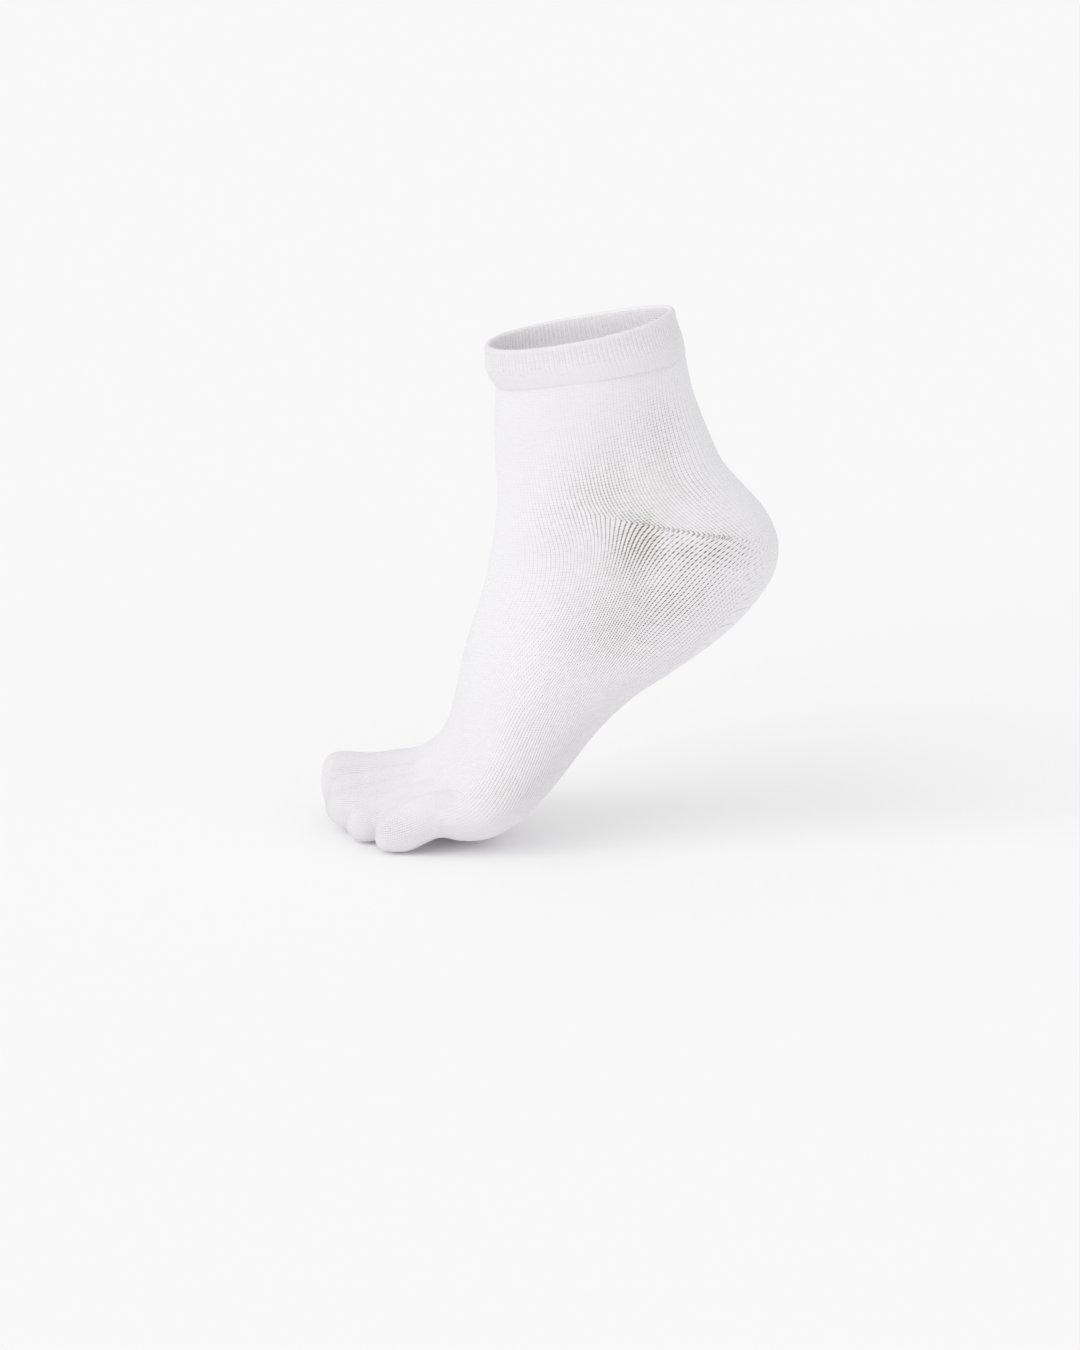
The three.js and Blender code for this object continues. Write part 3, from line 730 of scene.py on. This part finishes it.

# How far the cuff's loops are drawn open, and how dark the painted shade in their gaps shows on the plain
# welt and, more, on ribs
CUFF_OPEN = 0.15
CUFF_GAP_SHOWS = 0.05
RIB_GAP_SHOWS = 0.7


def cuff_ring(row):
    low, high, share = CUFF_SEAM, CUFF_MIDDLE, row.height * 2
    if row.height > 0.5:
        low, high, share = CUFF_MIDDLE, RIM, row.height * 2 - 1
    section = Section(*(start + (end - start) * share for start, end in zip(low, high)))
    centre = in_frame(0, (section.front_y + section.back_y) / 2, (section.front_z + section.back_z) / 2)
    ring = []
    for i, place in enumerate(body_ring(section, CUFF_POINTS)):
        reach = place - centre
        wave = math.cos(2 * math.pi * i / POINTS_A_RIB) * row.rib * RIB_DEPTH / 2
        point = centre + reach * (1 + (row.proud + wave) / 1000 / reach.length)
        aside = point.x * 1000 / section.half_width
        sag = SEAM_SAG + (RIM_SAG - SEAM_SAG) * row.height
        point.z -= (sag * aside**2 + RIM_TIP * row.height * aside) / 1000
        ring.append(point)
    return ring


def cuff_mesh():
    """The cuff's wall, extruded ring by ring round its profile until the last ring meets the first"""
    cloth = bmesh.new()
    uv = cloth.loops.layers.uv.new("knit")
    inside = cloth.verts.layers.float.new("inside")
    rib = cloth.verts.layers.float.new("rib")
    steps = CUFF_STEPS * (len(CUFF_ROWS) - 1)
    rings = [cuff_ring(CuffRow(*row_at(CUFF_ROWS, r / CUFF_STEPS))) for r in range(steps + 1)]
    first = bmesh.ops.create_circle(cloth, radius=1, segments=CUFF_POINTS)["verts"]
    circle = first
    course = 0
    for number, ring in enumerate(rings):
        before = {vert: i for i, vert in enumerate(circle)}
        course_before = course
        if number:
            course += (ring[0] - rings[number - 1][0]).length / CUFF_COURSE
            edges = [cloth.edges.get((circle[i - 1], circle[i])) for i in range(CUFF_POINTS)]
            made = bmesh.ops.extrude_edge_only(cloth, edges=edges)["geom"]
            fresh = {part for part in made if isinstance(part, bmesh.types.BMVert)}
            circle = [
                next(edge.other_vert(vert) for edge in vert.link_edges if edge.other_vert(vert) in fresh)
                for vert in circle
            ]
        for vert, place in zip(circle, ring):
            vert.co = place
            vert[inside] = min(max(number / CUFF_STEPS - INSIDE_ROW, 0), 1)
            vert[rib] = row_at(CUFF_ROWS, number / CUFF_STEPS)[2]
        turn = {vert: i for i, vert in enumerate(circle)} | before
        for face in {face for vert in circle for face in vert.link_faces}:
            start = turn[face.loops[0].vert]
            for loop in face.loops:
                point = turn[loop.vert]
                point -= CUFF_POINTS * round((point - start) / CUFF_POINTS)
                loop[uv].uv = (point / POINTS_A_RIB + 0.5, course_before if loop.vert in before else course)
    bmesh.ops.remove_doubles(cloth, verts=first + circle, dist=0.00001)
    bmesh.ops.recalc_face_normals(cloth, faces=cloth.faces)
    mesh = bpy.data.meshes.new("cuff_rib")
    cloth.to_mesh(mesh)
    cloth.free()
    return mesh


cuff = bpy.data.objects.new("cuff_rib", cuff_mesh())
bpy.context.scene.collection.objects.link(cuff)
cuff.data.shade_smooth()


def rib_knit_material():
    material = bpy.data.materials.new("rib_knit")
    material.use_nodes = True
    tree = material.node_tree
    lie = put(tree, "SeparateXYZ", [(0, put(tree, "UVMap", uv_map="knit").outputs[0])]).outputs
    loops = put(tree, "Group", node_tree=knit_loops)
    loops.inputs["Open"].default_value = CUFF_OPEN
    tree.links.new(lie[0], loops.inputs["Wale"])
    tree.links.new(lie[1], loops.inputs["Course"])
    yarn = put(tree, "Group", node_tree=cotton_yarn)
    tree.links.new(put(tree, "TexCoord").outputs["Object"], yarn.inputs["Place"])
    rib = put(tree, "Attribute", attribute_name="rib").outputs["Fac"]
    # Painted shade in the gaps, darker on the ribs
    shows = maths(tree, "MULTIPLY_ADD", rib, RIB_GAP_SHOWS, CUFF_GAP_SHOWS)
    gap = maths(tree, "MULTIPLY", loops.outputs["Gap"], shows)
    inside = put(tree, "Attribute", attribute_name="inside").outputs["Fac"]
    cotton = mixed_colour(tree, yarn.outputs["Tone"], CUFF_DULL, CUFF_WHITE)
    # Painted light: the inside of the cuff is given a paler colour
    cotton = mixed_colour(tree, inside, cotton, CUFF_PAINTED_LIGHT)
    knit_surface(tree, cotton, gap, loops, yarn, sheen=0.3)
    return material


cuff.data.materials.append(rib_knit_material())
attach(cuff, "root")
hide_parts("cuff")


# Studio: a plain sheet of pale paper that fills the view, under an even pale sky, with one broad soft light
# from above, on the side of the toes. The backdrop is the sky as the camera sees it.

FLOOR_SIDE = 60
FLOOR_DROP = 0.0001
BACKDROP = 0.939
SKY = 0.81
FLOOR_COLOUR = (0.99, 0.99, 0.99, 1)
SUN_POWER = 0.75
SUN_ANGLE = math.radians(55)
SUN_AZIMUTH = math.radians(50)
SUN_HEIGHT = math.radians(36)
CAMERA_AIM = (0, -4.3, 69.7)
CAMERA_AZIMUTH = math.radians(99.5)
CAMERA_HEIGHT = math.radians(14)
CAMERA_DISTANCE = 15.9
CAMERA_LENS = 1000
LIGHT_BOUNCES = 16


def direction(azimuth, height):
    return Vector((
        math.sin(azimuth) * math.cos(height), -math.cos(azimuth) * math.cos(height), math.sin(height)
    ))


ground = bmesh.new()
bmesh.ops.create_grid(ground, x_segments=1, y_segments=1, size=FLOOR_SIDE / 2)
bmesh.ops.translate(ground, verts=ground.verts, vec=in_frame(0, 0, 0) - Vector((0, 0, FLOOR_DROP)))
floor_mesh = bpy.data.meshes.new("floor")
ground.to_mesh(floor_mesh)
ground.free()
floor = bpy.data.objects.new("floor", floor_mesh)
bpy.context.scene.collection.objects.link(floor)
paper = bpy.data.materials.new("pale_paper")
paper.use_nodes = True
paper.node_tree.nodes["Principled BSDF"].inputs["Base Color"].default_value = FLOOR_COLOUR
paper.node_tree.nodes["Principled BSDF"].inputs["Roughness"].default_value = 1
paper.node_tree.nodes["Principled BSDF"].inputs["Specular IOR Level"].default_value = 0
floor_mesh.materials.append(paper)

world = bpy.data.worlds.new("pale_sky")
bpy.context.scene.world = world
world.use_nodes = True
seen = put(world.node_tree, "LightPath").outputs["Is Camera Ray"]
strength = mixed_value(world.node_tree, seen, SKY, BACKDROP)
world.node_tree.nodes["Background"].inputs["Color"].default_value = (1, 1, 1, 1)
world.node_tree.links.new(strength, world.node_tree.nodes["Background"].inputs["Strength"])

sun_light = bpy.data.lights.new("broad_light", "SUN")
sun_light.energy = SUN_POWER
sun_light.angle = SUN_ANGLE
sun = bpy.data.objects.new("broad_light", sun_light)
sun.rotation_mode = "QUATERNION"
sun.rotation_quaternion = direction(SUN_AZIMUTH, SUN_HEIGHT).to_track_quat("Z", "Y")
bpy.context.scene.collection.objects.link(sun)

lens = bpy.data.cameras.new("camera")
lens.lens = CAMERA_LENS
lens.clip_end = FLOOR_SIDE
camera = bpy.data.objects.new("camera", lens)
toward = direction(CAMERA_AZIMUTH, CAMERA_HEIGHT)
camera.location = in_frame(*CAMERA_AIM) + toward * CAMERA_DISTANCE
camera.rotation_mode = "QUATERNION"
camera.rotation_quaternion = (-toward).to_track_quat("-Z", "Y")
bpy.context.scene.collection.objects.link(camera)
bpy.context.scene.camera = camera
bpy.context.scene.view_settings.view_transform = "Standard"
bpy.context.scene.cycles.max_bounces = LIGHT_BOUNCES
bpy.context.scene.cycles.diffuse_bounces = LIGHT_BOUNCES
